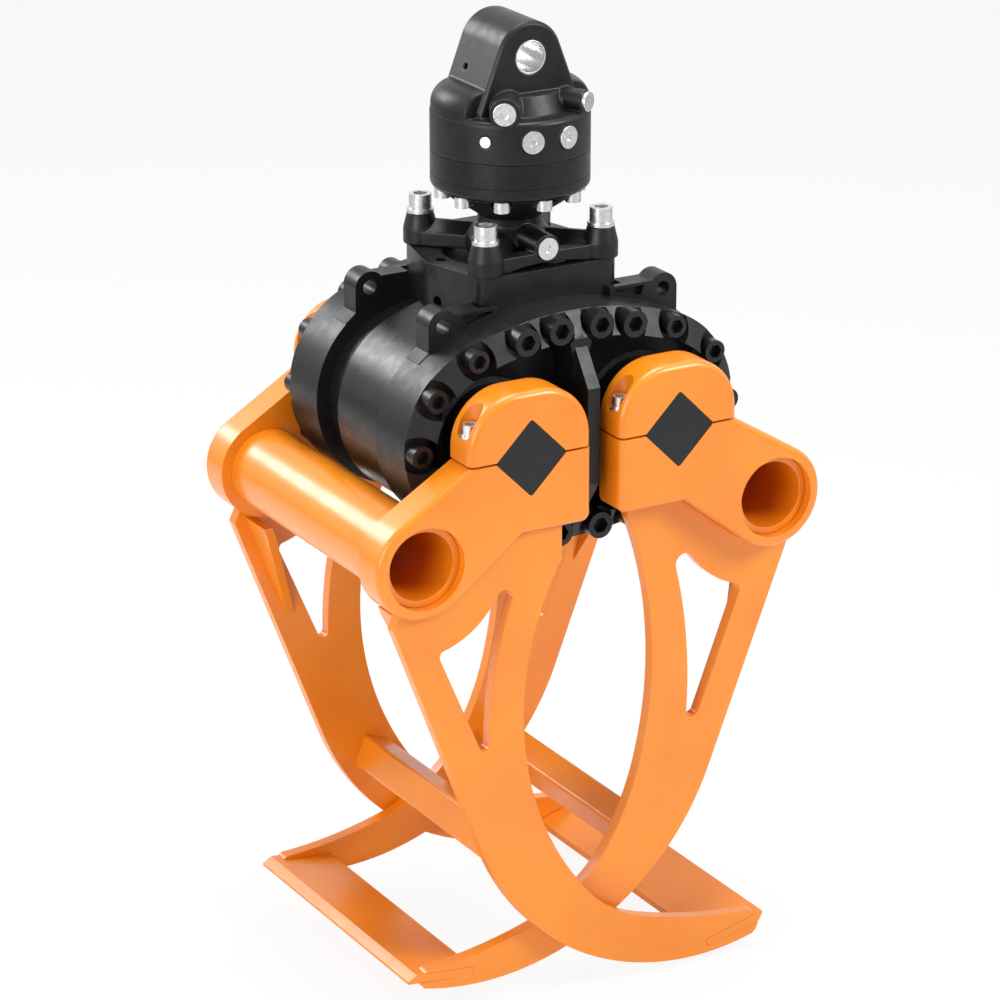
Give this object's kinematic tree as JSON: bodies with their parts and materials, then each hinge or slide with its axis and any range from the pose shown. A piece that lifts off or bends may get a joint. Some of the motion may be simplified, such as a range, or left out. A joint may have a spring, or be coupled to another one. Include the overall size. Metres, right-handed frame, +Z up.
{
  "type": "log grapple",
  "caption": "Log grapple hanging from a hydraulic rotator link, with a twin-shaft rotary drive that swings a wide and a narrow curved jaw past each other.",
  "frame": {"origin": "centre of the link's pin bore", "axes": "+X towards the right jaw's shaft, +Y to the rear along the pin bore and the two drive shafts, +Z up"},
  "size_m": [0.6686, 0.492, 1.2871],
  "materials": {
    "orange_coat": "semi-gloss orange powder coat",
    "black_coat": "satin black paint on machined and cast steel",
    "black_steel": "satin black oxide",
    "zinc_steel": "bright zinc plating",
    "gear_steel": "machined, oiled steel",
    "bronze": "machined bearing bronze",
    "seal_rubber": "matt nitrile rubber"
  },
  "bodies": {
    "rotator": {"rotator_head": "black_coat", "link_bushing": "zinc_steel", "stator_ring": "black_coat", "rotator_bearing": "bronze", "port_plugs": "zinc_steel", "bleed_plug": "zinc_steel"},
    "drive": {"actuator_housing": "black_coat", "adapter_plug": "zinc_steel", "flange_adapter": "black_coat", "flange_screws": "zinc_steel", "flange_washers": "zinc_steel", "front_cover": "black_coat", "front_cover_screws": "black_steel", "front_crown_screws": "black_steel", "left_front_bush": "bronze", "left_front_seal": "seal_rubber", "left_rear_bush": "bronze", "left_rear_seal": "seal_rubber", "left_ring_gear": "gear_steel", "rear_cover": "black_coat", "rear_cover_screws": "black_steel", "rear_crown_screws": "black_steel", "right_front_bush": "bronze", "right_front_seal": "seal_rubber", "right_rear_bush": "bronze", "right_rear_seal": "seal_rubber", "right_ring_gear": "gear_steel", "ring_screws": "zinc_steel", "rotor_ring": "black_coat", "rotor_shaft": "gear_steel"},
    "left_jaw": {"left_clamp_screws": "zinc_steel", "left_clamp_washers": "zinc_steel", "left_cross_tube": "orange_coat", "left_crossbeam": "orange_coat", "left_front_cap": "orange_coat", "left_front_head": "orange_coat", "left_front_plate": "orange_coat", "left_gussets": "orange_coat", "left_rear_cap": "orange_coat", "left_rear_head": "orange_coat", "left_rear_plate": "orange_coat", "left_shaft": "black_steel", "left_tip_blade": "orange_coat"},
    "right_jaw": {"right_clamp_screws": "zinc_steel", "right_clamp_washers": "zinc_steel", "right_cross_tube": "orange_coat", "right_crossbeam": "orange_coat", "right_front_cap": "orange_coat", "right_front_head": "orange_coat", "right_front_plate": "orange_coat", "right_gussets": "orange_coat", "right_rear_cap": "orange_coat", "right_rear_head": "orange_coat", "right_rear_plate": "orange_coat", "right_shaft": "black_steel", "right_tip_blade": "orange_coat"},
    "left_piston": {"left_piston": "gear_steel"},
    "right_piston": {"right_piston": "gear_steel"}
  },
  "joints": [
    {"name": "rotator_turn", "type": "hinge", "parent": "rotator", "child": "drive", "pos_m": [0, 0, -0.1603], "axis": [0, 0, 1], "continuous": true},
    {"name": "left_jaw_swing", "type": "hinge", "parent": "drive", "child": "left_jaw", "pos_m": [-0.111, 0, -0.465], "axis": [0, 1, 0], "range_deg": [0, 80]},
    {"name": "right_jaw_swing", "type": "hinge", "parent": "drive", "child": "right_jaw", "pos_m": [0.111, 0, -0.465], "axis": [0, 1, 0], "range_deg": [-80, 0]},
    {"name": "left_piston_slide", "type": "slide", "parent": "drive", "child": "left_piston", "axis": [0, 1, 0], "range_m": [0, 0.028]},
    {"name": "right_piston_slide", "type": "slide", "parent": "drive", "child": "right_piston", "axis": [0, 1, 0], "range_m": [0, 0.028]}
  ],
  "couplings": [
    {"joint": "right_jaw_swing", "follows": "left_jaw_swing", "ratio": -1},
    {"joint": "left_piston_slide", "follows": "left_jaw_swing", "m_per_rad": 0.02},
    {"joint": "right_piston_slide", "follows": "left_jaw_swing", "m_per_rad": 0.02}
  ]
}
